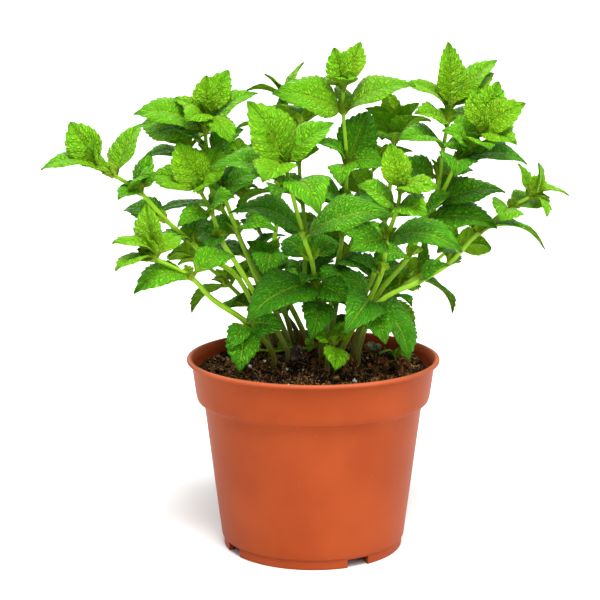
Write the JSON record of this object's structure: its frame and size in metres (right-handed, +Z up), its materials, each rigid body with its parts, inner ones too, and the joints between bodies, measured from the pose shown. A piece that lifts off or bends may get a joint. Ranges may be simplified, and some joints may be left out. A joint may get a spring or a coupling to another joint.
{
  "type": "potted mint plant",
  "caption": "Leafy mint plant with serrated leaves on upright stems, growing from soil in a round plastic nursery pot.",
  "frame": {"origin": "middle of the pot's base, on the surface that the pot stands on", "axes": "+Z up, -Y to the front as the picture shows the plant, +X to the picture's right"},
  "size_m": [0.2629, 0.1618, 0.2584],
  "materials": {
    "pot": "satin",
    "soil": "matte",
    "leaf": "satin"
  },
  "bodies": {
    "root": {"pot": "pot", "soil": "soil", "stem_far_left": "leaf", "stem_low_left": "leaf", "stem_left": "leaf", "stem_left_behind": "leaf", "stem_upper_left": "leaf", "stem_top_left": "leaf", "stem_centre_front": "leaf", "stem_centre": "leaf", "stem_behind": "leaf", "stem_upper_right": "leaf", "stem_front_right": "leaf", "stem_far_right": "leaf", "stem_low_front": "leaf", "stem_back_1": "leaf", "stem_back_2": "leaf", "stem_back_3": "leaf", "stem_back_4": "leaf", "stem_back_5": "leaf", "stem_back_6": "leaf", "stem_back_7": "leaf", "stem_back_8": "leaf"}
  },
  "joints": []
}
